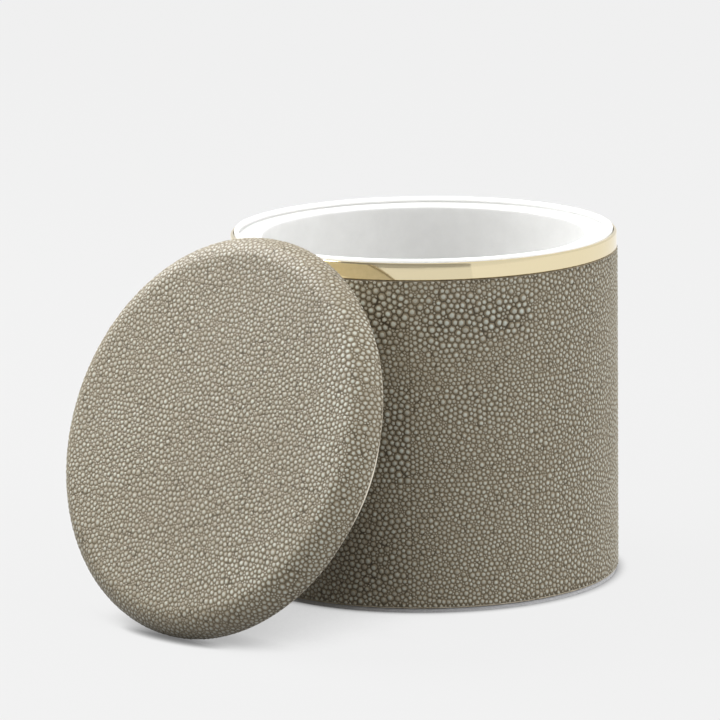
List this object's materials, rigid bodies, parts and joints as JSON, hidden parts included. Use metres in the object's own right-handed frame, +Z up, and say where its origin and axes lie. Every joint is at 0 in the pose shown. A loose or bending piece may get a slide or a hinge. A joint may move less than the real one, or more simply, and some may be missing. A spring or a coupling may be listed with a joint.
{
  "type": "lidded canister",
  "caption": "Round vanity canister covered in pearled faux shagreen, with a metal rim band, a white inner cup and a lift-off lid that leans beside it.",
  "frame": {"origin": "centre of the canister's base, on the surface it stands on", "axes": "+Z up along the canister's own axis; the lid leans on the canister's -Y side; the sheet's seam is at +Y"},
  "size_m": [0.1322, 0.1914, 0.1214],
  "materials": {
    "shagreen": "satin, pearled grain",
    "polished_brass": "polished",
    "white_moulding": "gloss",
    "white_paint": "painted satin",
    "grey_board": "raw wound board",
    "fibreboard": "raw",
    "grey_felt": "felt",
    "pale_suede": "short nap"
  },
  "bodies": {
    "canister": {"base_pad": "grey_felt", "base_board": "fibreboard", "core_tube": "grey_board", "inner_cup": "white_moulding", "body_wrap": "shagreen", "rim_band": "polished_brass"},
    "lid": {"lid_wrap": "shagreen", "lid_core": "white_paint", "lid_plug": "white_paint", "lid_lining": "pale_suede"}
  },
  "joints": [
    {"name": "lid_lift", "type": "slide", "parent": "canister", "child": "lid", "axis": [0, 0, 1], "range_m": [0, 0.15]}
  ]
}
